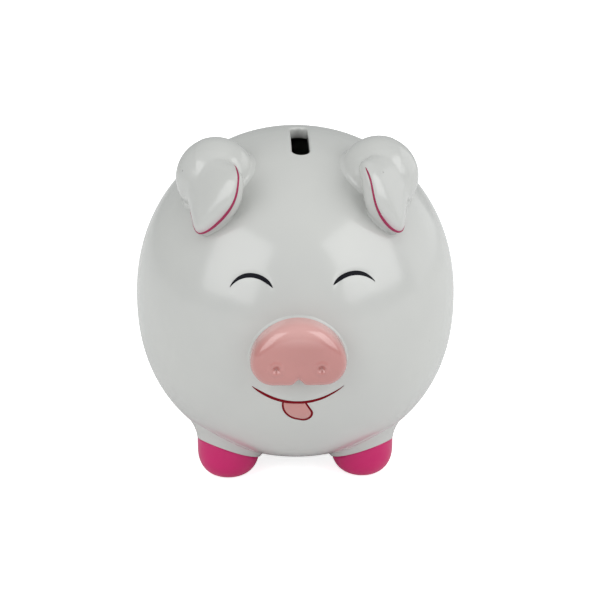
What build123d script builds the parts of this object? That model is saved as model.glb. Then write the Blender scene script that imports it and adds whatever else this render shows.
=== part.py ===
"""Pig money box: a hollow glazed ceramic pig that stands on four hooves.

Coins drop through a slot in the top of the head and come out through a hole in the belly,
which a soft push-in stopper closes.  The ears, snout, legs and tail are solid pieces luted
onto the cast shell, and the face is drawn in enamel laid into grooves.

Frame: millimetres, +Z up.  The pig looks along -Y, so +X is the pig's left.  The origin lies
on the table, under the middle of the whole object's length and width.
"""

import os
from math import cos, pi, radians, sin, sqrt

from build123d import *

# ---------------------------------------------------------------- driving dimensions
# Body: a rounded barrel whose widest line, the waist, is a level ellipse.
body_width = 130.0
body_depth = 139.0
crown_rise = 68.5          # waist to the top of the head
belly_drop = 64.0          # waist to the lowest point of the belly
crown_roundness = 2.10     # exponent of the profile above the waist, 2 is an ellipse
belly_roundness = 2.25     # the same below the waist, where the pig is fuller
wall = 5.0
profile_points = 9         # points that set each half of the profile

# Coin slot, level with the crown and running front to back.
slot_x = 1.4               # the slot sits this far to the pig's left
slot_length = 30.0
slot_width = 6.8
slot_centre_y = -9.0       # from the body's centre

# Legs and hooves: round nubs, cut level where they stand.
belly_clearance = 3.8      # table to the lowest point of the belly
leg_radius = 12.6
leg_x = 27.2
leg_y = 26.0
hoof_foot_depth = 10.4     # centre of the nub to the table
cuff_height = 2.8          # white cuff between the belly and the coloured hoof

# Ears: a rounded root with a flap folded over it, forwards and outwards.
ear_x = 30.4
ear_y = -24.0              # from the body's centre
ear_heading = -71.0        # compass heading of the flap's droop, degrees from +X
ear_root_radii = (15.2, 15.0, 15.0)
ear_root_droop = 0.8       # middle of the root, down the head from the flap's origin
# The flap's middle line, from the fold to the tip: (outwards, up the head, off the head).
flap_spine = [
    (1.6, 2.0, 9.8),
    (0.6, -4.5, 10.4),
    (0.2, -11.0, 8.6),
    (0.5, -17.2, 5.2),
    (1.7, -23.2, 0.8),
    (3.4, -28.4, -3.4),
]
flap_widths = [14.0, 20.5, 24.0, 22.5, 17.0, 6.5]
flap_thicknesses = [5.0, 7.6, 8.0, 7.2, 5.8, 3.6]
ear_line_width = 1.1

# Snout: a puffy pad, domed above and two-lobed below.
muzzle_x = -1.3            # snout, mouth and tongue sit this far to the pig's right
snout_half_width = 17.5
snout_top = 16.9           # widest line to the top
snout_arch_fullness = 0.48 # 0.55 makes the arch an ellipse, less makes it pointed
snout_lobe_radius = 8.2
snout_centre_z = -0.8      # widest line, from the waist
snout_projection = 9.0     # in front of the body
snout_edge_radius = 5.0
nostril_x = 8.2
nostril_z = -1.2           # from the snout's widest line
nostril_radius = 1.7
nostril_depth = 1.2
cleft_radius = 3.0
cleft_rise = 2.4

# Tail: a short curl laid against the back, its free end lifted.
tail_z = 8.0               # middle of the curl, from the waist
tail_curl_radius = 5.4
tail_wire_radius = 2.9
tail_curl_angle = 290.0
tail_start = 150.0         # where the curl leaves the body, degrees from the +X side
tail_standoff = 1.6        # middle of the curl behind the body
tail_tilt = 24.0           # lift of the free side, degrees

# Enamel lines, laid in grooves so that they sit just below the glaze.
groove_depth = 0.9
enamel_sink = 0.2
eye_centre_x = 18.8        # from the eyes' own middle
eyes_x = 0.65              # middle of the two eyes, towards the pig's left
eye_half_width = 7.8
eye_corner_z = 24.8        # from the waist
eye_outer_sagitta = 5.0
eye_inner_sagitta = 3.6
mouth_half_width = 17.0
mouth_corner_z = -12.6
mouth_outer_sagitta = 6.9
mouth_inner_sagitta = 5.95
tongue_outline_width = 0.8
tongue_left = (-5.6, 0.5)  # corners and bulges of the tongue, from the mouth's lowest point
tongue_left_bulge = (-4.1, -5.0)
tongue_tip = (0.6, -7.4)
tongue_right_bulge = (4.6, -6.7)
tongue_right = (5.3, -4.1)
tongue_top_right = (2.8, 0.4)

# Belly hole and its stopper.
hole_radius = 17.0
seat_width = 3.0           # flat land round the hole, which the stopper's flange meets
seat_recess = 0.8          # the flange lies this far inside the belly's skin
collar_width = 3.0         # thickened ring of the wall round the land
stopper_flange_clearance = 0.6
stopper_flange_thickness = 2.0
stopper_flange_edge = 0.8
stopper_rib_clearance = 0.06
stopper_neck_inset = 0.7   # the neck between the ribs is this much smaller
stopper_rib_height = 1.2
stopper_ribs = 2
stopper_reach = 6.0        # land to the stopper's inner end
stopper_cup_wall = 2.2
stopper_grip_radius = 9.5
stopper_grip_depth = 1.1
stopper_grip_bar = 3.2

# ---------------------------------------------------------------- places that follow from them
half_width = body_width / 2
half_depth = body_depth / 2
waist_z = belly_drop + belly_clearance
snout_reach = half_depth + snout_projection
tail_reach = half_depth + tail_standoff + tail_curl_radius * sin(radians(tail_tilt)) + tail_wire_radius
body_y = (snout_reach - tail_reach) / 2
body_centre = Vector(0, body_y, waist_z)
seat_radius = hole_radius + seat_width
collar_radius = seat_radius + collar_width
foot_z = hoof_foot_depth - waist_z


def place(shape):
    """Moves a shape drawn about the body's centre to its place in the frame."""
    return shape.moved(Location(body_centre))


# ---------------------------------------------------------------- body form
def profile_arc(radius, rise, roundness):
    """Points of a quarter profile from the waist (radius, 0) towards the pole (0, rise)."""
    found = []
    for i in range(profile_points):
        turn = pi / 2 * i / profile_points
        found.append((radius * cos(turn) ** (2 / roundness), rise * sin(turn) ** (2 / roundness)))
    return found


def body_form(grow=0.0):
    """The body's solid form about its own centre, with every half axis longer by grow."""
    radius = half_width + grow
    upper = profile_arc(radius, crown_rise + grow, crown_roundness)
    lower = profile_arc(radius, -belly_drop - grow, belly_roundness)
    points = [(0, -belly_drop - grow), *reversed(lower), *upper[1:], (0, crown_rise + grow)]
    outline = Spline([Vector(r, 0, z) for r, z in points], tangents=[(1, 0, 0), (-1, 0, 0)])
    axis_line = Line(outline @ 1, outline @ 0)
    form = revolve(make_face([outline, axis_line]), Axis.Z)
    return scale(form, by=(1, (half_depth + grow) / radius, 1))


def crown_height(x, y):
    """Height above the waist of the body's skin over the plan point (x, y)."""
    reach = sqrt((x / half_width) ** 2 + (y / half_depth) ** 2)
    return crown_rise * (1 - reach**crown_roundness) ** (1 / crown_roundness)


def belly_depth(x, y):
    """Depth below the waist of the body's skin under the plan point (x, y)."""
    reach = sqrt((x / half_width) ** 2 + (y / half_depth) ** 2)
    return belly_drop * (1 - reach**belly_roundness) ** (1 / belly_roundness)


def crown_normal(x, y):
    """Outward unit normal of the skin over the plan point (x, y)."""
    step = 0.01
    slope_x = (crown_height(x + step, y) - crown_height(x - step, y)) / (2 * step)
    slope_y = (crown_height(x, y + step) - crown_height(x, y - step)) / (2 * step)
    return Vector(-slope_x, -slope_y, 1).normalized()


# ---------------------------------------------------------------- face drawing
def lune(half_chord, outer_sagitta, inner_sagitta):
    """A crescent on the XZ plane, corners at (-half_chord, 0) and (half_chord, 0)."""
    left, right = (-half_chord, 0, 0), (half_chord, 0, 0)
    outer = ThreePointArc(left, (0, 0, outer_sagitta), right)
    inner = ThreePointArc(right, (0, 0, inner_sagitta), left)
    return make_face([outer, inner])


def through_face(face):
    """A prism through the front skin on a face drawn on XZ."""
    return extrude(face.moved(Location((0, -half_depth / 2, 0))), amount=half_depth, dir=(0, -1, 0))


def inlay(prism):
    """(groove to cut, enamel that lies in it) for a prism that crosses the front skin."""
    groove = prism - floor_form
    enamel = (prism & enamel_form) - floor_form
    return groove, enamel


def tongue_face(shrink=0.0):
    """The tongue's outline on XZ, hanging from the mouth, its corners drawn in by shrink."""
    corners = [tongue_left, tongue_left_bulge, tongue_tip, tongue_right_bulge, tongue_right, tongue_top_right]
    points = [Vector(x, 0, z) for x, z in corners]
    middle = sum(points, Vector()) / len(points)
    points = [point + (middle - point).normalized() * shrink for point in points]
    left, left_bulge, tip, right_bulge, right, top_right = points
    outline = [
        ThreePointArc(left, left_bulge, tip),
        ThreePointArc(tip, right_bulge, right),
        Line(right, top_right),
        Line(top_right, left),
    ]
    return make_face(outline).moved(Location((muzzle_x, 0, mouth_corner_z - mouth_outer_sagitta)))


# ---------------------------------------------------------------- pieces
def make_snout():
    """The pad, luted to the front of the body."""
    lobe_x = snout_half_width - snout_lobe_radius
    side_pull, top_pull = snout_arch_fullness * snout_top, snout_arch_fullness * snout_half_width
    with BuildSketch(Plane.XZ) as outline:
        with BuildLine():
            for side in (-1, 1):
                foot = (side * snout_half_width, 0)
                Bezier(foot, (foot[0], side_pull), (side * top_pull, snout_top), (0, snout_top))
            CenterArc((-lobe_x, 0), snout_lobe_radius, 180, 90)
            Line((-lobe_x, -snout_lobe_radius), (lobe_x, -snout_lobe_radius))
            CenterArc((lobe_x, 0), snout_lobe_radius, 270, 90)
        make_face()
    pad = extrude(outline.sketch, amount=snout_reach)
    front = pad.faces().sort_by(Axis.Y)[0]
    pad = fillet(front.edges(), snout_edge_radius)
    cleft = Pos(0, -half_depth, -snout_lobe_radius - cleft_radius + cleft_rise) * (
        Rot(90, 0, 0) * Cylinder(cleft_radius, body_depth)
    )
    pad -= cleft
    dimple_reach = snout_reach - nostril_depth + nostril_radius
    for side in (-1, 1):
        pad -= Pos(side * nostril_x, -dimple_reach, nostril_z) * Sphere(nostril_radius)
    return pad.moved(Location((muzzle_x, 0, snout_centre_z))) - skin_form


def ear_plane():
    """The left ear's own frame: x outwards, y up the head along the flap, z off the head."""
    normal = crown_normal(ear_x, ear_y)
    heading = Vector(cos(radians(ear_heading)), sin(radians(ear_heading)), 0)
    down = (heading - normal * heading.dot(normal)).normalized()
    root = Vector(ear_x, ear_y, crown_height(ear_x, ear_y))
    return Plane(origin=root, x_dir=normal.cross(down), z_dir=normal)


def flap_plane(i):
    """Plane across the flap at point i of its middle line, in the ear's frame."""
    before = Vector(*flap_spine[max(i - 1, 0)])
    after = Vector(*flap_spine[min(i + 1, len(flap_spine) - 1)])
    return Plane(origin=flap_spine[i], x_dir=(1, 0, 0), z_dir=after - before)


def flap_edge(i, side):
    """Point of the flap's edge at point i: side is -1 for the inner edge, 1 for the outer."""
    plane = flap_plane(i)
    return plane.origin + plane.x_dir * (side * flap_widths[i] / 2)


def make_flap():
    sections = []
    for i, (width, thickness) in enumerate(zip(flap_widths, flap_thicknesses)):
        sections.append(flap_plane(i) * Ellipse(width / 2, thickness / 2))
    return loft(sections)


def make_ear_line():
    """A bead of enamel along the flap's inner edge and round its tip."""
    last = len(flap_spine) - 1
    upper, middle, lower = flap_edge(2, -1), flap_edge(4, -1), flap_edge(last, -1)
    tip = flap_plane(last).origin + flap_plane(last).z_dir * ear_line_width / 2
    runs = [ThreePointArc(upper, middle, lower), ThreePointArc(lower, tip, flap_edge(last, 1))]
    line = Pos(*lower) * Sphere(ear_line_width / 2)
    for run in runs:
        line += sweep(Plane(origin=run @ 0, z_dir=run % 0) * Circle(ear_line_width / 2), run)
    return line


def make_ear():
    """(left ear, its enamel line) about the body's centre."""
    root = Pos(0, -ear_root_droop, 0) * scale(Sphere(1), by=ear_root_radii)
    to_head = ear_plane().location
    ear = (root + make_flap()).moved(to_head) - skin_form
    line = make_ear_line().moved(to_head) - skin_form
    return ear - line, line


def leg_nub(side_x, side_y):
    """A leg with its hoof, from the waist to the table."""
    foot = Vector(side_x * leg_x, side_y * leg_y, foot_z)
    nub = Pos(*foot) * Sphere(leg_radius) + Pos(foot.X, foot.Y, foot_z / 2) * Cylinder(leg_radius, -foot_z)
    table = Pos(foot.X, foot.Y, -waist_z - leg_radius) * Box(4 * leg_radius, 4 * leg_radius, 2 * leg_radius)
    return nub - table


def make_tail():
    """One curl, flat against the back where it starts and lifted where it ends."""
    curl = Torus(tail_curl_radius, tail_wire_radius, major_angle=tail_curl_angle)
    for end in (0, tail_curl_angle):
        curl += Rot(0, 0, end) * Pos(tail_curl_radius, 0, 0) * Sphere(tail_wire_radius)
    curl = Rot(-90 + tail_tilt, 0, 0) * Rot(0, 0, tail_start) * curl
    return Pos(0, half_depth + tail_standoff, tail_z) * curl - skin_form


def make_stopper():
    """Soft bung: a flange under the land, a ribbed hollow neck through the hole."""
    flange_radius = seat_radius - stopper_flange_clearance
    rib_radius = hole_radius - stopper_rib_clearance
    neck_radius = hole_radius - stopper_neck_inset
    flange = Pos(0, 0, -stopper_flange_thickness / 2) * Cylinder(flange_radius, stopper_flange_thickness)
    flange = fillet(flange.edges().sort_by(Axis.Z)[0], stopper_flange_edge)
    bung = flange + Pos(0, 0, stopper_reach / 2) * Cylinder(neck_radius, stopper_reach)
    for i in range(stopper_ribs):
        rib_z = stopper_reach * (i + 0.5) / stopper_ribs
        bung += Pos(0, 0, rib_z) * Cylinder(rib_radius, stopper_rib_height)
    cup_depth = stopper_reach - stopper_cup_wall / 2
    bung -= Pos(0, 0, stopper_reach - cup_depth / 2) * Cylinder(neck_radius - stopper_cup_wall, cup_depth)
    well_z = -stopper_flange_thickness + stopper_grip_depth / 2
    bar = Box(2 * stopper_grip_radius, stopper_grip_bar, stopper_grip_depth)
    bung -= Pos(0, 0, well_z) * (Cylinder(stopper_grip_radius, stopper_grip_depth) - bar)
    return bung.moved(Location((0, 0, -seat_drop)))


def make_shell(grooves):
    """The cast shell: skin less cavity, with its slot, belly hole and grooves."""
    collar_top = wall - seat_drop
    collar = Pos(0, 0, collar_top - belly_drop / 2) * Cylinder(collar_radius, belly_drop)
    cavity = body_form(-wall) - collar
    slot = extrude(Rot(0, 0, 90) * SlotOverall(slot_length, slot_width), crown_rise + wall)
    under_seat = Pos(0, 0, -seat_drop - belly_drop / 2) * Cylinder(seat_radius, belly_drop)
    hole = Pos(0, 0, -belly_drop) * Cylinder(hole_radius, belly_drop)
    shell = skin_form - cavity - Pos(slot_x, slot_centre_y, 0) * slot - under_seat - hole
    for groove in grooves:
        shell -= groove
    return shell


# ---------------------------------------------------------------- build
seat_drop = belly_depth(seat_radius, 0) - seat_recess - stopper_flange_thickness
skin_form = body_form()
enamel_form = body_form(-enamel_sink)
floor_form = body_form(-groove_depth)
cuff_form = body_form(cuff_height)

nodes = {}
grooves = []
eye_prism = through_face(lune(eye_half_width, eye_outer_sagitta, eye_inner_sagitta))
for name, side in (("left", 1), ("right", -1)):
    prism = eye_prism.moved(Location((eyes_x + side * eye_centre_x, 0, eye_corner_z)))
    groove, nodes[f"eye_line_{name}"] = inlay(prism)
    grooves.append(groove)

mouth_face = lune(mouth_half_width, -mouth_outer_sagitta, -mouth_inner_sagitta)
mouth_face = mouth_face.moved(Location((muzzle_x, 0, mouth_corner_z)))
tongue_whole, tongue_inner = tongue_face(), tongue_face(tongue_outline_width)
mouth_prism = through_face(mouth_face) + (through_face(tongue_whole) - through_face(tongue_inner))
tongue_prism = through_face(tongue_inner) - through_face(mouth_face)
groove, nodes["mouth_line"] = inlay(mouth_prism)
grooves.append(groove)
groove, nodes["tongue"] = inlay(tongue_prism)
grooves.append(groove)

nodes["shell"] = make_shell(grooves)
nodes["snout"] = make_snout()
nodes["ear_left"], nodes["ear_line_left"] = make_ear()
nodes["ear_right"] = nodes["ear_left"].mirror(Plane.YZ)
nodes["ear_line_right"] = nodes["ear_line_left"].mirror(Plane.YZ)
for end, side_y in (("front", -1), ("rear", 1)):
    for name, side_x in (("left", 1), ("right", -1)):
        nub = leg_nub(side_x, side_y)
        nodes[f"leg_{end}_{name}"] = (nub & cuff_form) - skin_form
        nodes[f"hoof_{end}_{name}"] = nub - cuff_form
nodes["tail"] = make_tail()
nodes["stopper"] = make_stopper()

os.makedirs("parts", exist_ok=True)
for name, shape in nodes.items():
    export_step(place(shape), f"parts/{name}.step")
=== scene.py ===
"""Glazed ceramic pig money box: the looks of every piece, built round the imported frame.

Pieces are drawn in millimetres about the body's centre and set in place when they are finished.
The pig looks along -Y and +X is its left, as in the frame.
"""

from math import acos, atan2, copysign, cos, exp, hypot, pi, radians, sin, sqrt

import bmesh
import bpy
from mathutils import Matrix, Vector
from mathutils.bvhtree import BVHTree


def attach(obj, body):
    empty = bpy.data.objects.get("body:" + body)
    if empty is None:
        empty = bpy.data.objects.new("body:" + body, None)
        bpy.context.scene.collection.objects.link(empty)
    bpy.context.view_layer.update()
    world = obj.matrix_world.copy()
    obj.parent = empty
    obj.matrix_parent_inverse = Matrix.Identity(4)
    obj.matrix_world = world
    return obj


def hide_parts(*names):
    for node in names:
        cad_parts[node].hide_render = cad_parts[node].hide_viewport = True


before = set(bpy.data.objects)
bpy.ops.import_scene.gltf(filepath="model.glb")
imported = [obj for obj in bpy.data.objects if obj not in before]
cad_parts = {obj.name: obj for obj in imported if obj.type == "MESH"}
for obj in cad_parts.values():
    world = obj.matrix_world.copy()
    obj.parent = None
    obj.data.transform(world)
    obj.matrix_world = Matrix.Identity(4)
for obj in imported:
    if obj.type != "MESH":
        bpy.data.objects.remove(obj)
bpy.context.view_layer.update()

# ---------------------------------------------------------------- sizes, in millimetres
body_centre = Vector((0.0, 1.15, 67.8))
half_width, half_depth = 65.0, 69.5
crown_rise, crown_roundness = 68.5, 2.10
belly_drop, belly_roundness = 64.0, 2.25
wall = 5.0

slot_half_run = 11.6
slot_radius = 3.4
slot_x, slot_centre_y = 1.4, -9.0
slot_lip = 0.9

hole_radius, seat_radius, collar_radius = 17.0, 20.0, 23.0
land_z = -59.17
collar_top = land_z + wall

leg_x, leg_y = 27.2, 26.0
legs_shift = -0.9
leg_radius = 12.6
foot_drop = 10.4
foot_z = foot_drop - body_centre.z
cuff_height = 2.8

muzzle_x = -1.3
snout_centre_z = -0.8
snout_front = half_depth + 9.0
nostril_x, nostril_z = 8.2, -0.2

eyes_x = 0.65
eye_x, eye_half, eye_z = 18.8, 7.8, 24.8
# The two eyes were brushed by hand, each a little turned; side 1 is the pig's left.
eye_places = {1: Vector((eyes_x + eye_x, eye_z + 0.9)), -1: Vector((eyes_x - eye_x, eye_z))}
eye_sagittas = {1: 3.65, -1: 4.3}
eye_turns = {1: Matrix.Rotation(radians(-2.5), 2), -1: Matrix.Rotation(radians(4.4), 2)}
mouth_half, mouth_z, mouth_sagitta = 17.0, -12.6, -6.42


# ---------------------------------------------------------------- the body's skin
def roundness(z):
    return (crown_rise, crown_roundness) if z > 0 else (belly_drop, belly_roundness)


def skin_radius(z, grow=0.0):
    """Radius of the body, before it is stretched in depth, at height z."""
    rise, power = roundness(z)
    share = min(abs(z) / (rise + grow), 1.0)
    return (half_width + grow) * (1 - share**power) ** (1 / power)


def skin_height(x, y, above=True, grow=0.0):
    """Height of the skin over or under the plan point (x, y)."""
    rise, power = roundness(1 if above else -1)
    reach = min(hypot(x / (half_width + grow), y / (half_depth + grow)), 1.0)
    height = (rise + grow) * (1 - reach**power) ** (1 / power)
    return height if above else -height


def front_skin(x, z):
    """Y of the skin on the pig's face at (x, z)."""
    across = x / half_width
    reach = skin_radius(z) / half_width
    return -half_depth * sqrt(max(reach * reach - across * across, 0.0))


def skin_gap(point):
    """(distance from the skin, outward normal) near a point, the distance above the skin positive."""
    x, y, z = point
    rise, power = roundness(z)
    level = max(hypot(x / half_width, y / half_depth), 1e-6)
    climb = max(abs(z) / rise, 1e-9)
    form = (level**power + climb**power) ** (1 / power)
    pull = form ** (1 - power)
    slope = Vector((
        pull * level ** (power - 2) * x / half_width**2,
        pull * level ** (power - 2) * y / half_depth**2,
        pull * climb ** (power - 1) * copysign(1, z) / rise,
    ))
    return (form - 1) / slope.length, slope.normalized()


def smooth_step(t):
    t = min(max(t, 0.0), 1.0)
    return t * t * (3 - 2 * t)


def bell(distance, width):
    return exp(-((distance / width) ** 2))


# ---------------------------------------------------------------- drawing helpers
def arc_through(start, bulge, end, count):
    """Points of the arc from start through bulge to end, in a plane."""
    (ax, ay), (bx, by), (cx, cy) = start, bulge, end
    d = 2 * (ax * (by - cy) + bx * (cy - ay) + cx * (ay - by))
    a2, b2, c2 = ax * ax + ay * ay, bx * bx + by * by, cx * cx + cy * cy
    ux = (a2 * (by - cy) + b2 * (cy - ay) + c2 * (ay - by)) / d
    uy = (a2 * (cx - bx) + b2 * (ax - cx) + c2 * (bx - ax)) / d
    radius = hypot(ax - ux, ay - uy)
    first = atan2(ay - uy, ax - ux)
    middle = (atan2(by - uy, bx - ux) - first) % (2 * pi)
    last = (atan2(cy - uy, cx - ux) - first) % (2 * pi)
    if middle > last:
        last -= 2 * pi
    turns = [first + last * i / count for i in range(count + 1)]
    return [Vector((ux + radius * cos(a), uy + radius * sin(a))) for a in turns]


def evenly(path, count):
    """The path's points redrawn as count + 1 points an equal length apart."""
    lengths = [0.0]
    for before, after in zip(path, path[1:]):
        lengths.append(lengths[-1] + (after - before).length)
    found, i = [], 0
    for k in range(count + 1):
        goal = lengths[-1] * k / count
        while i < len(path) - 2 and lengths[i + 1] < goal:
            i += 1
        share = (goal - lengths[i]) / max(lengths[i + 1] - lengths[i], 1e-9)
        found.append(path[i].lerp(path[i + 1], min(max(share, 0.0), 1.0)))
    return found


def along(values, t):
    """Smooth value at t from 0 to 1 through a list of numbers or vectors."""
    last = len(values) - 1
    place = min(max(t, 0.0), 1.0) * last
    i = min(int(place), last - 1)
    s = place - i
    p1, p2 = values[i], values[i + 1]
    p0 = values[i - 1] if i else p1 + (p1 - p2)
    p3 = values[i + 2] if i + 2 <= last else p2 + (p2 - p1)
    return (
        p1 * (1 - 2.5 * s * s + 1.5 * s**3)
        + p2 * (0.5 * s + 2 * s * s - 1.5 * s**3)
        + p0 * (-0.5 * s + s * s - 0.5 * s**3)
        + p3 * (-0.5 * s * s + 0.5 * s**3)
    )


# ---------------------------------------------------------------- face drawing: where the lines run
def line_arc(half_chord, sagitta, t):
    """(point, across) on an arc of the XZ plane, t from -1 to 1 between its ends at (+-half_chord, 0)."""
    radius = (half_chord**2 + sagitta**2) / (2 * abs(sagitta))
    centre = sagitta - copysign(radius, sagitta)
    spread = atan2(half_chord, abs(centre))
    across = Vector((sin(spread * t), copysign(cos(spread * t), sagitta)))
    return Vector((0, centre)) + across * radius, across


tongue_corners = {
    "left": (-5.6, 0.5),
    "left_bulge": (-4.1, -5.0),
    "tip": (0.6, -7.4),
    "right_bulge": (4.6, -6.7),
    "right": (5.3, -4.1),
    "top_right": (2.8, 0.4),
}


def tongue_path():
    """The tongue's outline on XZ from its left top corner round to its right one."""
    root = Vector((muzzle_x, mouth_z - 6.9))
    c = tongue_corners
    path = arc_through(c["left"], c["left_bulge"], c["tip"], 16)
    path += arc_through(c["tip"], c["right_bulge"], c["right"], 10)[1:]
    path += [Vector(c["right"]).lerp(Vector(c["top_right"]), s / 5) for s in range(1, 6)]
    path = evenly([root + point for point in path], 60)
    for _ in range(3):
        path[1:-1] = [(a + b * 2 + c) / 4 for a, b, c in zip(path, path[1:], path[2:])]
    return path


tongue_line = tongue_path()


def line_depth(x, z):
    """Depth of the soft groove that the face's lines lie in."""
    depth = 0.0
    for side in (-1, 1):
        here = (Vector((x, z)) - eye_places[side]) @ eye_turns[side]
        depth = max(depth, arc_groove(here.x, here.y, eye_half, eye_sagittas[side], 1.5, 0.42))
    depth = max(depth, arc_groove(x - muzzle_x, z - mouth_z, mouth_half, mouth_sagitta, 1.3, 0.42))
    if abs(x - muzzle_x) < 10 and -31 < z < -14:
        here = Vector((x, z))
        near = min((here - point).length for point in tongue_line)
        depth = max(depth, 0.34 * bell(near, 1.1))
    return depth


def arc_groove(x, z, half_chord, sagitta, width, depth):
    if abs(x) > half_chord + 4 or abs(z) > abs(sagitta) + 6:
        return 0.0
    radius = (half_chord**2 + sagitta**2) / (2 * abs(sagitta))
    centre = sagitta - copysign(radius, sagitta)
    beyond = max(abs(x) - half_chord * 0.97, 0.0)
    if (z - centre) * copysign(1, sagitta) < 0.6 * abs(centre):
        return 0.0
    gap = abs(hypot(x, z - centre) - radius)
    fade = 1 - smooth_step((abs(x) - half_chord * 0.72) / (half_chord * 0.34))
    return depth * bell(gap, width) * fade * bell(beyond, 1.2)


# ---------------------------------------------------------------- glazes
def node_at(tree, kind, **settings):
    node = tree.nodes.new(kind)
    for name, value in settings.items():
        setattr(node, name, value)
    return node


def glaze(
    name, thin, pooled, roughness_range=(0.18, 0.26), coat=0.5, overspray_and_painted_light=None, specks=0.5, ripple=0.2, shine=0.5
):
    """Fired glaze: colour that deepens where it pooled, faint ripple, pinholes, and a clear gloss over it."""
    material = bpy.data.materials.new(name)
    material.use_nodes = True
    tree = material.node_tree
    link = tree.links.new
    shader = tree.nodes["Principled BSDF"]
    shader.inputs["IOR"].default_value = 1.52
    shader.inputs["Coat Weight"].default_value = coat
    shader.inputs["Coat Roughness"].default_value = 0.12
    shader.inputs["Specular IOR Level"].default_value = shine
    place = node_at(tree, "ShaderNodeTexCoord").outputs["Object"]

    pooling = node_at(tree, "ShaderNodeTexNoise")
    pooling.inputs["Scale"].default_value = 22.0
    pooling.inputs["Detail"].default_value = 3.0
    link(place, pooling.inputs["Vector"])
    pooled_share = node_at(tree, "ShaderNodeMapRange")
    pooled_share.inputs["From Min"].default_value = 0.35
    pooled_share.inputs["From Max"].default_value = 0.65
    link(pooling.outputs["Fac"], pooled_share.inputs["Value"])
    colour = node_at(tree, "ShaderNodeMix", data_type="RGBA")
    colour.inputs["A"].default_value = (*thin, 1)
    colour.inputs["B"].default_value = (*pooled, 1)
    link(pooled_share.outputs["Result"], colour.inputs["Factor"])
    tone = colour.outputs["Result"]

    cells = node_at(tree, "ShaderNodeTexVoronoi")
    cells.inputs["Scale"].default_value = 95.0
    link(place, cells.inputs["Vector"])
    near = node_at(tree, "ShaderNodeMapRange")
    near.inputs["From Min"].default_value = 0.025
    near.inputs["From Max"].default_value = 0.045
    near.inputs["To Min"].default_value = 1.0
    near.inputs["To Max"].default_value = 0.0
    link(cells.outputs["Distance"], near.inputs["Value"])
    chosen = node_at(tree, "ShaderNodeSeparateColor")
    link(cells.outputs["Color"], chosen.inputs["Color"])
    rare = node_at(tree, "ShaderNodeMath", operation="GREATER_THAN")
    rare.inputs[1].default_value = 0.72
    link(chosen.outputs["Red"], rare.inputs[0])
    pinholes = node_at(tree, "ShaderNodeMath", operation="MULTIPLY")
    link(near.outputs["Result"], pinholes.inputs[0])
    link(rare.outputs["Value"], pinholes.inputs[1])
    speck_share = node_at(tree, "ShaderNodeMath", operation="MULTIPLY")
    speck_share.inputs[1].default_value = specks
    link(pinholes.outputs["Value"], speck_share.inputs[0])
    speckled = node_at(tree, "ShaderNodeMix", data_type="RGBA")
    speckled.inputs["B"].default_value = (thin[0] * 0.35, thin[1] * 0.33, thin[2] * 0.33, 1)
    link(speck_share.outputs["Value"], speckled.inputs["Factor"])
    link(tone, speckled.inputs["A"])
    tone = speckled.outputs["Result"]

    # Mixes towards the given colour by the piece's own attribute. On the white pieces this is real pink
    # overspray; on the snout it is a painted lighter top, painted light from above.
    if overspray_and_painted_light:
        mist = node_at(tree, "ShaderNodeAttribute", attribute_name="overspray_and_painted_light")
        sprayed = node_at(tree, "ShaderNodeMix", data_type="RGBA")
        sprayed.inputs["B"].default_value = (*overspray_and_painted_light, 1)
        link(mist.outputs["Fac"], sprayed.inputs["Factor"])
        link(tone, sprayed.inputs["A"])
        tone = sprayed.outputs["Result"]
    link(tone, shader.inputs["Base Color"])

    gloss = node_at(tree, "ShaderNodeMapRange")
    gloss.inputs["To Min"].default_value = roughness_range[0]
    gloss.inputs["To Max"].default_value = roughness_range[1]
    link(pooling.outputs["Fac"], gloss.inputs["Value"])
    link(gloss.outputs["Result"], shader.inputs["Roughness"])

    waves = node_at(tree, "ShaderNodeTexNoise")
    waves.inputs["Scale"].default_value = 75.0
    waves.inputs["Detail"].default_value = 2.0
    link(place, waves.inputs["Vector"])
    wave_bump = node_at(tree, "ShaderNodeBump")
    wave_bump.inputs["Strength"].default_value = ripple
    wave_bump.inputs["Distance"].default_value = 0.0006
    link(waves.outputs["Fac"], wave_bump.inputs["Height"])
    pit_bump = node_at(tree, "ShaderNodeBump", invert=True)
    pit_bump.inputs["Strength"].default_value = 0.35
    pit_bump.inputs["Distance"].default_value = 0.0002
    link(pinholes.outputs["Value"], pit_bump.inputs["Height"])
    link(wave_bump.outputs["Normal"], pit_bump.inputs["Normal"])
    link(pit_bump.outputs["Normal"], shader.inputs["Normal"])
    link(pit_bump.outputs["Normal"], shader.inputs["Coat Normal"])
    return material


def moulded_rubber(name, tone):
    """Soft matt rubber with a fine mould grain."""
    material = bpy.data.materials.new(name)
    material.use_nodes = True
    tree = material.node_tree
    shader = tree.nodes["Principled BSDF"]
    shader.inputs["Coat Weight"].default_value = 0.0
    place = node_at(tree, "ShaderNodeTexCoord").outputs["Object"]
    grain = node_at(tree, "ShaderNodeTexNoise")
    grain.inputs["Scale"].default_value = 900.0
    grain.inputs["Detail"].default_value = 4.0
    tree.links.new(place, grain.inputs["Vector"])
    colour = node_at(tree, "ShaderNodeMix", data_type="RGBA")
    colour.inputs["A"].default_value = (*tone, 1)
    colour.inputs["B"].default_value = (*(0.8 * part for part in tone), 1)
    tree.links.new(grain.outputs["Fac"], colour.inputs["Factor"])
    tree.links.new(colour.outputs["Result"], shader.inputs["Base Color"])
    sheen = node_at(tree, "ShaderNodeMapRange")
    sheen.inputs["To Min"].default_value = 0.5
    sheen.inputs["To Max"].default_value = 0.68
    tree.links.new(grain.outputs["Fac"], sheen.inputs["Value"])
    tree.links.new(sheen.outputs["Result"], shader.inputs["Roughness"])
    bump = node_at(tree, "ShaderNodeBump")
    bump.inputs["Strength"].default_value = 0.25
    bump.inputs["Distance"].default_value = 0.0002
    tree.links.new(grain.outputs["Fac"], bump.inputs["Height"])
    tree.links.new(bump.outputs["Normal"], shader.inputs["Normal"])
    return material


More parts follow.
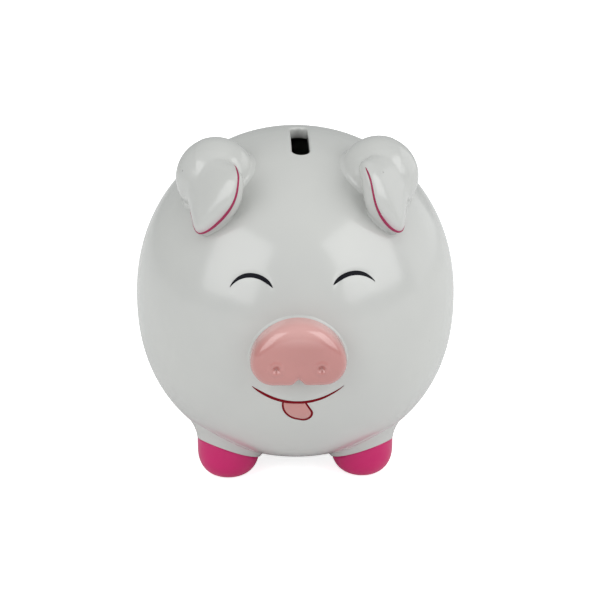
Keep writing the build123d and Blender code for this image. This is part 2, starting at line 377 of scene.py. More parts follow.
white = glaze("white_glaze", (0.585, 0.59, 0.572), (0.56, 0.565, 0.552), overspray_and_painted_light=(0.52, 0.20, 0.31))
pink = glaze(
    "pink_glaze",
    (0.58, 0.26, 0.24),
    (0.53, 0.225, 0.21),
    roughness_range=(0.12, 0.18),
    coat=0.9,
    specks=0.25,
    # The lighter pink that is painted over the snout's top as painted light from above.
    overspray_and_painted_light=(0.72, 0.41, 0.39),
)
magenta = glaze(
    "magenta_glaze",
    (0.66, 0.014, 0.165),
    (0.58, 0.010, 0.135),
    roughness_range=(0.26, 0.36),
    coat=0.1,
    specks=0.2,
    shine=0.35,
)


def enamel(name, thin, pooled, **finish):
    """A brushed enamel line: the same glaze without pinholes, and nearly no ripple."""
    return glaze(name, thin, pooled, specks=0.0, ripple=0.1, **finish)


dull = {"coat": 0.0, "shine": 0.08, "roughness_range": (0.3, 0.4)}
ear_enamel = enamel("ear_line_enamel", (0.36, 0.02, 0.09), (0.30, 0.015, 0.07), coat=0.1, shine=0.3)
red_enamel = enamel("red_enamel", (0.21, 0.002, 0.01), (0.16, 0.002, 0.008), **dull)
dark_enamel = enamel("dark_enamel", (0.004, 0.004, 0.006), (0.005, 0.005, 0.009), **dull)
rubber = moulded_rubber("stopper_rubber", (0.035, 0.035, 0.038))


# ---------------------------------------------------------------- finishing a piece
def finished(bm, name, material, node, body="bank", overspray_and_painted_light=None):
    """Sets a piece drawn in millimetres in its place, and lets it stand for its CAD node."""
    mesh = bpy.data.meshes.new(name)
    # Per-vertex mix amount: real overspray on the white pieces, painted light on the snout's top.
    if overspray_and_painted_light:
        layer = bm.verts.layers.float.new("overspray_and_painted_light")
        for vert in bm.verts:
            vert[layer] = overspray_and_painted_light(vert.co)
    bmesh.ops.translate(bm, verts=bm.verts, vec=body_centre)
    bmesh.ops.scale(bm, verts=bm.verts, vec=(0.001, 0.001, 0.001))
    for face in bm.faces:
        face.smooth = True
    bm.to_mesh(mesh)
    bm.free()
    mesh.materials.append(material)
    piece = bpy.data.objects.new(name, mesh)
    bpy.context.scene.collection.objects.link(piece)
    if node:
        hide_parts(node)
    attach(piece, body)
    return piece


def spun(profile, steps, closed=False):
    """A new bmesh with the profile, a list of (radius, z), turned once round Z."""
    bm = bmesh.new()
    verts = [bm.verts.new((radius, 0, z)) for radius, z in profile]
    edges = [bm.edges.new(pair) for pair in zip(verts, verts[1:])]
    if closed:
        edges.append(bm.edges.new((verts[-1], verts[0])))
    bmesh.ops.spin(
        bm, geom=verts + edges, axis=(0, 0, 1), cent=(0, 0, 0), angle=2 * pi, steps=steps, use_merge=True
    )
    bmesh.ops.remove_doubles(bm, verts=bm.verts, dist=1e-4)
    bmesh.ops.recalc_face_normals(bm, faces=bm.faces)
    return bm


def meshed(obj, voxel=None):
    """A new bmesh of what obj shows, remade in voxels if a size is given. obj is used up."""
    bpy.context.scene.collection.objects.link(obj)
    if voxel:
        remake = obj.modifiers.new("remake", "REMESH")
        remake.mode = "VOXEL"
        remake.voxel_size = voxel
        remake.adaptivity = 0
    bpy.context.view_layer.update()
    mesh = bpy.data.meshes.new_from_object(obj.evaluated_get(bpy.context.evaluated_depsgraph_get()))
    bm = bmesh.new()
    bm.from_mesh(mesh)
    bpy.data.meshes.remove(mesh)
    bpy.data.objects.remove(obj)
    return bm


def bead(points, radii):
    """A round tapered bead along the points, as a new bmesh."""
    data = bpy.data.curves.new("bead", "CURVE")
    data.dimensions = "3D"
    data.bevel_depth = 1.0
    data.bevel_resolution = 5
    data.resolution_u = 6
    data.use_fill_caps = True
    spline = data.splines.new("NURBS")
    spline.points.add(len(points) - 1)
    for knot, point, radius in zip(spline.points, points, radii):
        knot.co = (*point, 1)
        knot.radius = radius
    spline.order_u = 4
    spline.use_endpoint_u = True
    bm = meshed(bpy.data.objects.new("bead", data))
    bpy.data.curves.remove(data)
    bmesh.ops.remove_doubles(bm, verts=bm.verts, dist=1e-4)
    bmesh.ops.recalc_face_normals(bm, faces=bm.faces)
    return bm


# ---------------------------------------------------------------- ears
ear_x, ear_y = 30.4, -24.0
ear_heading = radians(-71.0)
ear_root_radii = (15.5, 15.2, 15.2)
ear_root_place = Vector((0.9, -0.6, 0.0))
# The flap runs from inside the dome, over the fold and down the head. Its two faces are arched, and it
# is rolled outwards, so its inner edge stands off the head and its outer edge is tucked in.
flap_spine = [
    Vector((1.2, 1.0, 2.5)),
    Vector((1.0, -5.6, 4.8)),
    Vector((0.5, -10.8, 4.4)),
    Vector((0.6, -16.6, 2.2)),
    Vector((1.7, -23.0, -0.8)),
    Vector((3.4, -28.6, -3.4)),
]
flap_rises = [7.0, 8.0, 5.9, 4.9, 4.0, 2.6]
flap_depths = [4.0, 5.0, 6.5, 8.0, 7.5, 4.0]
flap_rolls = {1: [0.0, 8.0, 20.0, 28.0, 24.0, 10.0], -1: [0.0, 6.0, 15.0, 21.0, 17.0, 6.0]}
# The flap's half widths on its inner and outer side: each ear was folded a little differently by hand.
flap_inner = {1: [8.0, 12.4, 16.8, 15.9, 12.2, 4.8], -1: [8.0, 11.6, 15.8, 18.8, 15.7, 5.6]}
flap_outer = {1: [8.0, 11.0, 10.4, 9.8, 7.4, 4.0], -1: [8.0, 11.0, 10.2, 9.2, 6.6, 3.6]}


def ear_frame(side):
    """Matrix from the ear's own frame: x outwards, y up the head, z off it. Side 1 is left, -1 right."""
    root = Vector((ear_x, ear_y, skin_height(ear_x, ear_y)))
    normal = skin_gap(root)[1]
    heading = Vector((cos(ear_heading), sin(ear_heading), 0))
    down = (heading - normal * heading.dot(normal)).normalized()
    out = normal.cross(down)
    place = Matrix.Translation(root) @ Matrix((out, -down, normal)).transposed().to_4x4()
    return Matrix.Diagonal((side, 1, 1, 1)) @ place


def flap_fullness(t):
    """Share of the flap's width left at t: whole along the leaf, closing quickly at its two ends."""
    return sqrt(max(1 - abs(2 * t - 1) ** 9, 0.0))


def flap_section(side, t):
    """(middle, across, through) of the flap at t from 0 to 1: unit vectors across it and up through it."""
    before, after = along(flap_spine, t - 0.02), along(flap_spine, t + 0.02)
    flat = Vector((1, 0, 0))
    upright = (after - before).normalized().cross(flat).normalized()
    roll = radians(along(flap_rolls[side], t))
    across = flat * cos(roll) - upright * sin(roll)
    through = upright * cos(roll) + flat * sin(roll)
    return along(flap_spine, t), across, through


def flap_reach(side, edge, t):
    """Half width of that side's flap at t, towards its inner (-1) or outer (1) edge."""
    return along((flap_inner if edge < 0 else flap_outer)[side], t) * flap_fullness(t)


def make_ear(side, name, line_start):
    """Makes an ear and its line, and returns the run of the line that overspray follows on the head."""
    bm = bmesh.new()
    flap = bmesh.ops.create_uvsphere(bm, u_segments=64, v_segments=80, radius=1)["verts"]
    for vert in flap:
        x, y, z = vert.co
        turn = acos(min(max(z, -1.0), 1.0))
        ring = max(sin(turn), 1e-6)
        t = turn / pi
        middle, across, through = flap_section(side, t)
        arch = along(flap_rises if y > 0 else flap_depths, t) * flap_fullness(t)
        vert.co = middle + across * (x / ring) * flap_reach(side, x, t) + through * (y / ring) * arch
    root = bmesh.ops.create_uvsphere(bm, u_segments=64, v_segments=48, radius=1)["verts"]
    bmesh.ops.scale(bm, verts=root, vec=ear_root_radii)
    bmesh.ops.translate(bm, verts=root, vec=ear_root_place)
    bmesh.ops.recalc_face_normals(bm, faces=bm.faces)
    lump_mesh = bpy.data.meshes.new("ear_lump")
    bm.to_mesh(lump_mesh)
    bm.free()
    bm = meshed(bpy.data.objects.new("ear_lump", lump_mesh), voxel=0.45)
    bpy.data.meshes.remove(lump_mesh)
    everywhere = list(bm.verts)
    fold = [vert for vert in everywhere if vert.co.y > -3]
    outer_fold = [vert for vert in everywhere if vert.co.y > -13 and vert.co.x > 1]
    for chosen, rounds in ((everywhere, 10), (fold, 60), (outer_fold, 90)):
        for _ in range(rounds):
            bmesh.ops.smooth_vert(
                bm, verts=chosen, factor=0.5, use_axis_x=True, use_axis_y=True, use_axis_z=True
            )
    bmesh.ops.transform(bm, matrix=ear_frame(side), verts=bm.verts)
    bmesh.ops.recalc_face_normals(bm, faces=bm.faces)
    bm.normal_update()
    flare, buried = 1.6, 2.0
    moves = []
    for vert in bm.verts:
        gap, normal = skin_gap(vert.co)
        if gap < flare:
            lift = min(max(gap, 0.0), flare)
            sideways = vert.normal - normal * vert.normal.dot(normal)
            share = min(max(1 + vert.normal.dot(normal), 0.0), 1.0)
            out = flare - sqrt(flare**2 - (flare - lift) ** 2)
            move = sideways.normalized() * out * share if sideways.length > 1e-3 else Vector()
            if gap < -buried:
                move -= normal * (gap + buried)
            moves.append((vert, move))
    for vert, move in moves:
        vert.co += move
    tree = BVHTree.FromBMesh(bm)

    place = ear_frame(side)
    edge = []
    for i in range(26):
        t = line_start + (1.0 - line_start) * i / 25
        middle, across, through = flap_section(side, t)
        edge.append(middle - across * flap_reach(side, -1, min(t, 0.985)) + through * 0.5)
    for i in range(10):
        t = 1.0 - 0.34 * i / 9
        middle, across, through = flap_section(side, t)
        outwards = flap_reach(side, 1, min(t, 0.985)) * 0.95
        edge.append(middle + across * outwards + through * (0.5 + 1.6 * i / 9))
    edge = evenly([place @ point for point in edge], 40)
    for _ in range(4):
        edge = [tree.find_nearest(point)[0] for point in edge]
        edge[1:-1] = [(a + b * 2 + c) / 4 for a, b, c in zip(edge, edge[1:], edge[2:])]
    edge = [tree.find_nearest(point)[0] for point in edge]
    radii = []
    hairline, brush_load, lead_in = 0.10, 0.44, 0.05 if side > 0 else 0.14
    for i in range(len(edge)):
        s = i / (len(edge) - 1)
        fullness = 0.55 * smooth_step(s / lead_in) + 0.45 * bell(s - 0.55, 0.2)
        radii.append(hairline + brush_load * fullness * (1 - 0.75 * smooth_step((s - 0.72) / 0.2)))

    spray_run = edge[len(edge) // 2 :]
    mist_strength, mist_reach = 0.45, 1.3

    def mist(point):
        near = min((point - knot).length for knot in spray_run)
        return mist_strength * bell(near, mist_reach)

    finished(bm, name, white, name, overspray_and_painted_light=mist)
    line_name = name.replace("ear", "ear_line")
    finished(bead(edge, radii), line_name, ear_enamel, line_name)
    return spray_run


left_spray = make_ear(1, "ear_left", 0.46)
right_spray = make_ear(-1, "ear_right", 0.30)


# ---------------------------------------------------------------- shell
def shell_profile():
    """The shell's closed outline as (radius, z): slot wall, skin, belly seat, collar and inner skin."""
    slot_start = 7.0
    lip = []
    for i in range(6):
        turn = pi / 2 * i / 5
        radius = slot_start + slot_lip * (1 - cos(turn))
        lip.append((radius, skin_height(slot_start + slot_lip, 0) - slot_lip * (1 - sin(turn))))
    top_end, face_top, face_bottom = slot_start + slot_lip, 31.0, -29.0
    outer_radius = skin_radius(face_top)
    rows = 50
    skin = []
    for i in range(1, rows):
        radius = top_end + (outer_radius - top_end) * sin(pi / 2 * i / rows) ** 1.15
        skin.append((radius, skin_height(radius, 0)))
    z = face_top
    while z > face_bottom:
        skin.append((skin_radius(z), z))
        z -= 0.5
    lower_radius, rim_radius = skin_radius(face_bottom), seat_radius + 0.8
    rows = 44
    for i in range(rows):
        radius = rim_radius + (lower_radius - rim_radius) * cos(pi / 2 * i / rows)
        skin.append((radius, skin_height(radius, 0, above=False)))
    rim_z = skin_height(rim_radius, 0, above=False)
    seat = [(rim_radius, rim_z), (seat_radius + 0.35, rim_z + 0.08), (seat_radius + 0.08, rim_z + 0.3)]
    seat += [(seat_radius, rim_z + 0.7), (seat_radius, land_z - 0.35)]
    seat += [(seat_radius - 0.1, land_z - 0.1), (seat_radius - 0.35, land_z)]
    seat += [(hole_radius + 0.6, land_z), (hole_radius + 0.18, land_z + 0.18), (hole_radius, land_z + 0.6)]
    seat += [(hole_radius, collar_top - 0.7), (hole_radius + 0.2, collar_top - 0.2)]
    seat += [(hole_radius + 0.7, collar_top)]
    seat += [(collar_radius - 0.7, collar_top), (collar_radius, collar_top - 0.5)]

    def inner_height(radius, height, exponent):
        return height * (1 - min(radius / (half_width - wall), 1) ** exponent) ** (1 / exponent)

    inner = []
    rows = 16
    for i in range(rows):
        turn = pi / 2 * (1 - i / rows)
        radius = collar_radius + 0.8 + (half_width - wall - collar_radius - 0.8) * cos(turn)
        inner.append((radius, inner_height(radius, -(belly_drop - wall), belly_roundness)))
    for i in range(rows):
        turn = pi / 2 * i / rows
        radius = slot_start + 1.0 + (half_width - wall - slot_start - 1.0) * cos(turn)
        inner.append((radius, inner_height(radius, crown_rise - wall, crown_roundness)))
    last = crown_rise - wall
    inner += [(slot_start + 0.35, last + 0.1), (slot_start, last + 0.6)]
    return lip + skin + seat + inner, slot_start


def stadium(turn, radius):
    """Point of the slot's outline, grown to radius round its ends, at a share of its length."""
    length = 2 * pi * radius + 4 * slot_half_run
    run = (turn / (2 * pi)) % 1 * length
    pieces = [
        (radius, 0, 0, False),
        (0, slot_half_run, 0, True),
        (-radius, slot_half_run, 0, False),
        (0, -slot_half_run, pi, True),
        (radius, -slot_half_run, 0, False),
    ]
    for x, y, start, bend in pieces:
        piece = pi * radius if bend else (2 * slot_half_run if x < 0 else slot_half_run)
        if run <= piece:
            if bend:
                angle = start + run / radius
                return Vector((x + radius * cos(angle), y + radius * sin(angle)))
            return Vector((x, y + (run if x > 0 else -run)))
        run -= piece
    return Vector((radius, 0))


def make_shell():
    profile, slot_start = shell_profile()
    bm = spun(profile, 300, closed=True)
    blend_radius = 50.0
    for vert in bm.verts:
        x, y, z = vert.co
        radius = hypot(x, y)
        ahead = atan2(x, -y)
        share = abs(ahead) / pi
        ahead = copysign(pi * (0.35 * share + 0.65 * share**3), ahead)
        x, y = radius * sin(ahead), -radius * cos(ahead)
        spot = Vector((x, y * half_depth / half_width))
        if z > 0 and radius < blend_radius:
            depth = skin_height(radius, 0) - z
            pull = smooth_step((blend_radius - radius) / (blend_radius - slot_start))
            around = stadium(atan2(y, x) % (2 * pi), slot_radius + radius - slot_start)
            spot = spot.lerp(around + Vector((slot_x, slot_centre_y)), pull)
            z = skin_height(spot.x, spot.y) - depth
        vert.co = (spot.x, spot.y, z)
    for vert in bm.verts:
        x, y, z = vert.co
        if y < -20 and -32 < z < 34:
            gap, normal = skin_gap(vert.co)
            if gap > -1:
                vert.co -= normal * line_depth(x, z)
    bmesh.ops.recalc_face_normals(bm, faces=bm.faces)

    def mist(point):
        amount = 0.0
        if point.z > 30 and point.y < 0 and abs(point.x) > 12:
            run = left_spray if point.x > 0 else right_spray
            near = min((point - knot).length for knot in run)
            amount = 0.5 * bell(near, 1.5)
        elif point.z < -38:
            for side_x in (-1, 1):
                for side_y in (-1, 1):
                    reach = hypot(point.x - legs_shift - side_x * leg_x, point.y - side_y * leg_y)
                    facing = 0.5 - 0.5 * side_y * (point.y - side_y * leg_y) / max(reach, 1)
                    haze = 0.22 * bell(reach - leg_radius - 3.4, 1.5)
                    amount = max(amount, haze * (1 - 0.8 * smooth_step(facing)))
        return amount

    return finished(bm, "shell", white, "shell", overspray_and_painted_light=mist)


make_shell()


# ---------------------------------------------------------------- enamel lines on the face
def on_face(x, z, lift):
    """Point on the grooved front skin at (x, z), raised by lift."""
    point = Vector((x, front_skin(x, z), z))
    return point + skin_gap(point)[1] * (lift - line_depth(x, z))


def stroke(path_at, width_at, runs, lift=0.07, crown=0.1, depth=0.35):
    """A thin brushed line: path_at(t) gives (point, across) on XZ, width_at(t) its width, t from -1 to 1."""
    bm = bmesh.new()
    bmesh.ops.create_grid(bm, x_segments=runs, y_segments=8, size=1)
    for vert in bm.verts:
        t, v = vert.co.x, vert.co.y
        point, across = path_at(t)
        spot = point + across * v * width_at(t) / 2
        vert.co = on_face(spot.x, spot.y, lift + crown * (1 - v * v))
    bmesh.ops.recalc_face_normals(bm, faces=bm.faces)
    if sum((face.normal.y for face in bm.faces)) > 0:
        bmesh.ops.reverse_faces(bm, faces=bm.faces)
    bmesh.ops.solidify(bm, geom=bm.faces, thickness=depth)
    bmesh.ops.recalc_face_normals(bm, faces=bm.faces)
    return bm


def eye_stroke(side):
    def path_at(t):
        point, across = line_arc(eye_half, eye_sagittas[side], t)
        return eye_turns[side] @ point + eye_places[side], eye_turns[side] @ across

    def width_at(t):
        inner = -t * side
        return 0.12 + 1.42 * (1 - abs(t) ** (5 if inner > 0 else 2)) * (1 + 0.12 * inner)

    return stroke(path_at, width_at, 64)


finished(eye_stroke(1), "eye_line_left", dark_enamel, "eye_line_left")
finished(eye_stroke(-1), "eye_line_right", dark_enamel, "eye_line_right")


def mouth_path(t):
    point, across = line_arc(mouth_half, mouth_sagitta, t)
    return point + Vector((muzzle_x, mouth_z)), across


def tongue_outline_path(t):
    place = (t + 1) / 2 * (len(tongue_line) - 1)
    i = min(int(place), len(tongue_line) - 2)
    run = tongue_line[min(i + 2, len(tongue_line) - 1)] - tongue_line[max(i - 1, 0)]
    across = Vector((-run.y, run.x)).normalized()
    return tongue_line[i].lerp(tongue_line[i + 1], place - i), across


mouth = stroke(mouth_path, lambda t: 0.16 + 1.0 * (1 - abs(t) ** (6 if t < 0 else 3)) * (1 - 0.1 * t), 110)
outline = stroke(tongue_outline_path, lambda t: 0.72 + 0.2 * (1 - t * t), 90)
outline_mesh = bpy.data.meshes.new("tongue_outline")
outline.to_mesh(outline_mesh)
outline.free()
mouth.from_mesh(outline_mesh)
bpy.data.meshes.remove(outline_mesh)
finished(mouth, "mouth_line", red_enamel, "mouth_line")


def make_tongue():
    """The tongue's pink patch, inside its outline and under the mouth."""
    rim = evenly(tongue_line, 56)
    corner_gap = rim[0] - rim[-1]
    rim += [rim[-1] + corner_gap * i / 16 for i in range(1, 16)]
    middle = sum(rim, Vector((0, 0))) / len(rim)
    bm = bmesh.new()
    bmesh.ops.create_circle(bm, segments=len(rim), radius=1)
    ring = list(bm.edges)
    for scale in (0.85, 0.7, 0.55, 0.4, 0.25):
        grown = bmesh.ops.extrude_edge_only(bm, edges=ring)["geom"]
        inner = [v for v in grown if isinstance(v, bmesh.types.BMVert)]
        for vert in inner:
            vert.co = vert.co.normalized() * scale
        ring = [e for e in grown if isinstance(e, bmesh.types.BMEdge) and all(v in inner for v in e.verts)]
    bmesh.ops.edgeloop_fill(bm, edges=ring)
    for vert in bm.verts:
        share = vert.co.length
        place = (atan2(vert.co.y, vert.co.x) / (2 * pi)) % 1 * len(rim)
        spot = middle.lerp(rim[int(round(place)) % len(rim)], share * 0.97)
        vert.co = on_face(spot.x, spot.y, 0.06 + 0.16 * (1 - share**3))
    bmesh.ops.recalc_face_normals(bm, faces=bm.faces)
    if sum((face.normal.y for face in bm.faces)) > 0:
        bmesh.ops.reverse_faces(bm, faces=bm.faces)
    bmesh.ops.solidify(bm, geom=bm.faces, thickness=0.3)
    bmesh.ops.recalc_face_normals(bm, faces=bm.faces)
    return bm


finished(make_tongue(), "tongue", pink, "tongue")


# ---------------------------------------------------------------- snout
def snout_outline(count):
    """The pad's outline on XZ from the cleft round by the pig's left: two lobes below, an arch above."""
    half, top, lobe = 17.8, 16.4, 8.0
    right = [Vector((x, -lobe + 2.3 * bell(x, 1.6))) for x in [i * 0.3 for i in range(31)]]
    turns = [pi / 2 * i / 24 for i in range(25)]
    right += [Vector((half - lobe + lobe * sin(turn), -lobe * cos(turn))) for turn in turns]
    foot, side_pull, top_pull = Vector((half, 0)), Vector((half, 0.50 * top)), Vector((0.52 * half, top))
    crest = Vector((0, top))
    for i in range(1, 41):
        s = i / 40
        lower = foot * (1 - s) ** 3 + side_pull * 3 * s * (1 - s) ** 2
        right.append(lower + top_pull * 3 * s * s * (1 - s) + crest * s**3)
    left = [Vector((-point.x, point.y)) for point in reversed(right)][1:]
    path = evenly(right + left, count)[:-1]
    for _ in range(3):
        path = [(path[i - 1] + path[i] * 2 + path[(i + 1) % count]) / 4 for i in range(count)]
    return path


snout_rim = snout_outline(240)
snout_middle = Vector((0, 3.0))


def snout_point(share, spoke):
    """Plan point on XZ at a share of the way from the pad's middle to its rim."""
    return snout_middle.lerp(snout_rim[spoke % len(snout_rim)], share)


def make_snout():
    rows = 84
    profile = []
    for i in range(rows + 1):
        turn = pi / 2 * i / rows
        profile.append((sin(turn), 1 - i / rows))
    profile[0] = (0, 1)
    bm = spun(profile + [(1.0, -0.4), (0.0, -0.5)], len(snout_rim))
    puff, buried = 4.5, 2.0
    dish_depth, nostril_depth, nostril_rim = 0.75, 1.0, 0.42
    for vert in bm.verts:
        radius, z = hypot(vert.co.x, vert.co.y), vert.co.z
        spoke = round(atan2(vert.co.y, vert.co.x) / (2 * pi) * len(snout_rim))
        spot = snout_point(min(radius, 1.0), spoke)
        skin = -front_skin(spot.x + muzzle_x, spot.y + snout_centre_z)
        if z < -0.1:
            vert.co = (spot.x, -(skin - buried), spot.y)
            continue
        rise = (1 - min(radius, 1.0) ** puff) ** (1 / puff)
        reach = skin + (snout_front - skin) * rise
        reach -= dish_depth * bell(hypot(spot.x / 1.5, spot.y - 0.5), 6.5)
        for side in (-1, 1):
            away = hypot(spot.x - side * nostril_x, spot.y - nostril_z)
            reach -= nostril_depth * bell(away, 1.0)
            reach += nostril_rim * bell(away - 2.0, 0.9)
        vert.co = (spot.x, -reach, spot.y)
    bmesh.ops.translate(bm, verts=bm.verts, vec=(muzzle_x, 0, snout_centre_z))
    bmesh.ops.recalc_face_normals(bm, faces=bm.faces)

    # Painted light: the pad's upper part is mixed towards a lighter pink, standing in for the light from
    # above that falls on it.
    def painted_top_light(point):
        return 0.75 * smooth_step((point.z - snout_centre_z - 7.0) / 7.0)

    return finished(bm, "snout", pink, "snout", overspray_and_painted_light=painted_top_light)


make_snout()


def make_snout_fillet():
    """White slip smoothed into the corner between the pad and the face."""
    section = [(0.03, 0.95), (0.10, 0.5), (0.24, 0.22), (0.45, 0.06), (0.7, -0.02), (1.0, -0.4)]
    section += [(-1.5, -0.8), (-1.5, 0.8)]
    bm = spun([(10 + out, height) for out, height in section], len(snout_rim), closed=True)
    count = len(snout_rim)
    for vert in bm.verts:
        out, height = hypot(vert.co.x, vert.co.y) - 10, vert.co.z
        spoke = round(atan2(vert.co.y, vert.co.x) / (2 * pi) * count) % count
        run = snout_rim[(spoke + 2) % count] - snout_rim[spoke - 2]
        away = Vector((run.y, -run.x)).normalized()
        fullness = 0.35 + 0.65 * smooth_step((snout_rim[spoke].y + 8) / 9)
        out, height = (out * fullness, height * fullness) if out > 0 else (out, height)
        spot = snout_rim[spoke] + away * out
        x, z = spot.x + muzzle_x, spot.y + snout_centre_z
        vert.co = (x, front_skin(x, z) - height, z)
    bmesh.ops.recalc_face_normals(bm, faces=bm.faces)
    return finished(bm, "snout_fillet", white, None, overspray_and_painted_light=lambda point: 0.0)


make_snout_fillet()


# ---------------------------------------------------------------- legs and hooves
def nub_point(run):
    """(radius, height over the foot's middle) at a run up the nub from the middle of its sole."""
    turn = run / leg_radius
    if turn < pi / 2:
        round_foot = -(foot_drop + 0.5) * cos(turn) ** (2 / 3)
        taper = 1 - 0.07 * smooth_step(-round_foot / foot_drop)
        return leg_radius * taper * sin(turn) ** (2 / 3), max(round_foot, -foot_drop)
    return leg_radius, leg_radius * (turn - pi / 2)


def cuff_at(turn, side_x):
    """Height of the white cuff in the direction turn: fuller on the leg's outer side."""
    return cuff_height + 1.0 * cos(turn) * side_x


def seam_run(turn, side_x, side_y, grow):
    """Run up the nub at which it meets the belly grown by grow, in the direction turn."""
    low, high = 8.0, 60.0
    for _ in range(26):
        middle = (low + high) / 2
        radius, height = nub_point(middle)
        x, y = legs_shift + side_x * leg_x + radius * cos(turn), side_y * leg_y + radius * sin(turn)
        if foot_z + height < skin_height(x, y, above=False, grow=grow):
            low = middle
        else:
            high = middle
    return low


def make_leg(side_x, side_y, end):
    columns, hoof_rows = 96, 30
    turns = [2 * pi * k / columns for k in range(columns)]
    seams = [seam_run(turn, side_x, side_y, cuff_at(turn, side_x)) for turn in turns]

    def column(vert):
        turn = atan2(vert.co.y, vert.co.x) % (2 * pi)
        return round(turn / (2 * pi) * columns) % columns

    def standing(radius, turn, height):
        x = legs_shift + side_x * leg_x + radius * cos(turn)
        return Vector((x, side_y * leg_y + radius * sin(turn), height))

    profile = [(i + 1.0, float(i)) for i in range(hoof_rows + 1)]
    bm = spun([(0, 0)] + profile + [(hoof_rows + 2.0, -1.0), (hoof_rows + 3.0, -2.0), (0, -3.0)], columns)
    for vert in bm.verts:
        level = vert.co.z
        k = column(vert)
        turn = 2 * pi * k / columns
        across = hypot(vert.co.x, vert.co.y)
        if level > -0.5:
            share = 0.0 if across < 0.5 else (0.05 + 0.95 * level / hoof_rows)
            radius, height = nub_point(seams[k] * share)
            vert.co = standing(radius, turn, foot_z + height)
        else:
            radius = nub_point(seams[k])[0] * (0.0 if across < 0.5 else (0.985 if level > -1.5 else 0.94))
            spot = standing(radius, turn, 0)
            share = 0.0 if across < 0.5 else 1.0
            grow = cuff_height + (cuff_at(turn, side_x) - cuff_height) * share
            spot.z = skin_height(spot.x, spot.y, above=False, grow=grow) + (0.06 if level > -1.5 else 0.3)
            vert.co = spot
    bmesh.ops.recalc_face_normals(bm, faces=bm.faces)
    finished(bm, f"hoof_{end}", magenta, f"hoof_{end}")

    cuff_rows, flare, sunk, swell = 14, 4.2, 0.35, 0.10
    profile = [(1.0, -2.0), (2.0, -1.0)] + [(3.0 + i, float(i)) for i in range(cuff_rows + 1)]
    bm = spun([(0, -3.0)] + profile + [(cuff_rows + 4.0, 90.0), (0, 91.0)], columns)
    for vert in bm.verts:
        level = vert.co.z
        k = column(vert)
        turn = 2 * pi * k / columns
        across = hypot(vert.co.x, vert.co.y)
        radius = nub_point(seams[k])[0]
        if level < -0.5:
            spot = standing(radius * (0.0 if across < 0.5 else (0.9 if level < -1.5 else 0.985)), turn, 0)
            grow = cuff_height if across < 0.5 else cuff_at(turn, side_x)
            spot.z = skin_height(spot.x, spot.y, above=False, grow=grow) + (0.0 if level > -1.5 else 0.25)
        elif level < 80:
            share = level / cuff_rows
            run_radius = radius
            rest = (cuff_at(turn, side_x) + sunk) * (1 - share)
            run_radius += flare - sqrt(max(flare**2 - (flare - rest) ** 2, 0.0))
            run_radius += swell * smooth_step(share * 8)
            spot = standing(run_radius, turn, 0)
            spot.z = skin_height(spot.x, spot.y, above=False, grow=rest - sunk)
        else:
            spot = standing(0.0 if across < 0.5 else radius + 2.0, turn, 0)
            spot.z = skin_height(spot.x, spot.y, above=False, grow=-1.5)
        vert.co = spot
    bmesh.ops.recalc_face_normals(bm, faces=bm.faces)

    def mist(point):
        gap = skin_gap(point)[0]
        facing = -side_y * (point.y - side_y * leg_y) / leg_radius
        return 0.22 * bell(max(gap, 0.0), 0.9) * smooth_step(facing)

    finished(bm, f"leg_{end}", white, f"leg_{end}", overspray_and_painted_light=mist)


for end, side_y in (("front", -1), ("rear", 1)):
    for hand, side_x in (("left", 1), ("right", -1)):
        make_leg(side_x, side_y, f"{end}_{hand}")


# ---------------------------------------------------------------- tail
def make_tail():
    curl, wire, tilt, start = 5.4, 2.9, radians(24.0), 150.0
    lay = Matrix.Translation((0, half_depth + 1.6, 8.0)) @ Matrix.Rotation(-pi / 2 + tilt, 4, "X")
    points, radii = [], []
    for i in range(33):
        s = i / 32
        turn = radians(start + 290.0 * s)
        points.append(lay @ Vector((curl * cos(turn), curl * sin(turn), 0)))
        radii.append(wire * (1.0 - 0.18 * s) * sqrt(max(1 - ((s - 0.5) / 0.5) ** 12, 0.03)))
    bm = bead(points, radii)
    return finished(bm, "tail", white, "tail", overspray_and_painted_light=lambda point: 0.0)


make_tail()


# ---------------------------------------------------------------- stopper
def make_stopper():
    """Soft bung: rounded flange, ribbed hollow neck, and a well with a bar to pull it by."""
    flange, thick = seat_radius - 0.6, 2.0
    neck, rib = hole_radius - 0.7, hole_radius - 0.06
    well, well_depth = 9.5, 1.1
    floor_z = -thick + well_depth
    profile = [(0, floor_z), (well - 0.6, floor_z), (well - 0.15, floor_z - 0.15)]
    profile += [(well, floor_z - 0.5), (well + 0.05, -thick + 0.3), (well + 0.35, -thick)]
    profile += [(flange - 1.2, -thick), (flange - 0.5, -thick + 0.15)]
    profile += [(flange - 0.12, -thick + 0.5), (flange, -thick + 1.0)]
    profile += [(flange, -0.25), (flange - 0.25, 0.0), (neck + 0.3, 0.0), (neck, 0.25)]
    for level in (1.5, 4.5):
        profile += [(neck, level - 0.75), (neck + 0.12, level - 0.62), (rib, level - 0.25)]
        profile += [(rib, level + 0.25), (neck + 0.12, level + 0.62), (neck, level + 0.75)]
    inner = neck - 2.2
    profile += [(neck, 5.7), (neck - 0.3, 6.0), (inner + 0.3, 6.0), (inner, 5.7)]
    profile += [(inner, 1.4), (inner - 0.3, 1.1), (0, 1.1)]
    bm = spun(profile, 128)
    bar = bmesh.ops.create_cube(bm, size=1)["verts"]
    bmesh.ops.scale(bm, verts=bar, vec=(2 * well + 1.0, 3.2, well_depth + 0.6))
    bmesh.ops.translate(bm, verts=bar, vec=(0, 0, -thick + (well_depth + 0.6) / 2))
    bar_edges = list({edge for vert in bar for edge in vert.link_edges})
    bmesh.ops.bevel(
        bm,
        geom=bar_edges,
        offset=0.45,
        offset_type="OFFSET",
        segments=3,
        profile=0.5,
        affect="EDGES",
        material=-1,
    )
    bmesh.ops.recalc_face_normals(bm, faces=bm.faces)
    bmesh.ops.translate(bm, verts=bm.verts, vec=(0, 0, land_z))
    return finished(bm, "stopper", rubber, "stopper", body="stopper")


make_stopper()


# ---------------------------------------------------------------- camera, floor and light
scene = bpy.context.scene
scene.view_settings.view_transform = "Standard"

